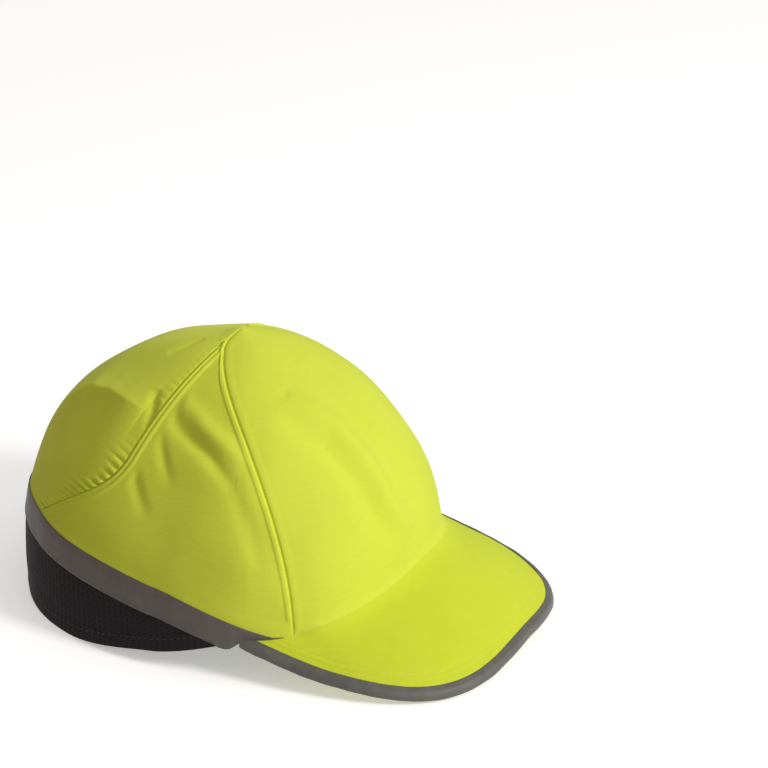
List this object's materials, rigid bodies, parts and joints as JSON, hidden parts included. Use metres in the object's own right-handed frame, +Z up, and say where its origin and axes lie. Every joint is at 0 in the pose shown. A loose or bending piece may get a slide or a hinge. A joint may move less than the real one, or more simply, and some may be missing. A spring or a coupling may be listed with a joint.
{
  "type": "bump cap",
  "caption": "Baseball-style bump cap: high-visibility cloth crown and peak over a removable hard insert, with reflective tape and a hook-and-loop size strap",
  "frame": {"origin": "under the middle of the cap's bounding box, on the ground the cap rests on", "axes": "+Z up, the peak points to -Y, the wearer's left is +X"},
  "size_m": [0.1858, 0.2569, 0.1345],
  "materials": {
    "lime_cloth": "woven polyester, high-visibility yellow",
    "lime_peak_cloth": "woven polyester, high-visibility yellow",
    "black_mesh": "knitted spacer mesh, black",
    "reflective_tape": "glass-bead retroreflective tape, grey",
    "reflective_binding": "glass-bead retroreflective binding, grey",
    "peak_board": "moulded polyethylene sheet",
    "seam_tape": "woven seam tape",
    "sweatband": "brushed knit over thin foam, black",
    "label": "blank woven label",
    "webbing": "woven polyester webbing, black",
    "hook": "nylon hook tape, black",
    "loop": "nylon loop pile, black",
    "shell": "moulded ABS, fine grain",
    "trim": "soft edge trim",
    "foam": "closed-cell EVA foam"
  },
  "bodies": {
    "cap": {"front_panel": "lime_cloth", "side_panel_left": "lime_cloth", "side_panel_right": "lime_cloth", "rear_panel": "lime_cloth", "back_panel": "black_mesh", "reflective_band": "reflective_tape", "peak_top_cover": "lime_peak_cloth", "peak_board": "peak_board", "peak_under_cover": "lime_peak_cloth", "peak_binding": "reflective_binding", "side_seam_tape_left": "seam_tape", "side_seam_tape_right": "seam_tape", "rear_seam_tape_left": "seam_tape", "rear_seam_tape_right": "seam_tape", "sweatband": "sweatband", "care_label": "label", "arch_binding": "webbing", "loop_strap": "webbing", "loop_tape": "loop", "crown_loop_patch": "loop"},
    "insert": {"protective_shell": "shell", "shell_edge_trim": "trim", "front_pad": "foam", "rear_pad": "foam", "left_pad": "foam", "right_pad": "foam", "crown_pad": "foam", "shell_hook_patch": "hook"},
    "strap_slider": {"hook_strap_base": "webbing"},
    "strap_flap": {"hook_strap_flap": "webbing", "hook_tape": "hook"}
  },
  "joints": [
    {"name": "insert_slide", "type": "slide", "parent": "cap", "child": "insert", "axis": [0, 0, -1], "range_m": [0, 0.15]},
    {"name": "strap_adjust", "type": "hinge", "parent": "cap", "child": "strap_slider", "pos_m": [0, 0.01973, 0.0125], "axis": [0, 0, 1], "range_deg": [-8, 4]},
    {"name": "strap_peel", "type": "hinge", "parent": "strap_slider", "child": "strap_flap", "pos_m": [-0.01815, 0.12264, 0.0125], "axis": [0, 0, 1], "range_deg": [0, 100]}
  ]
}
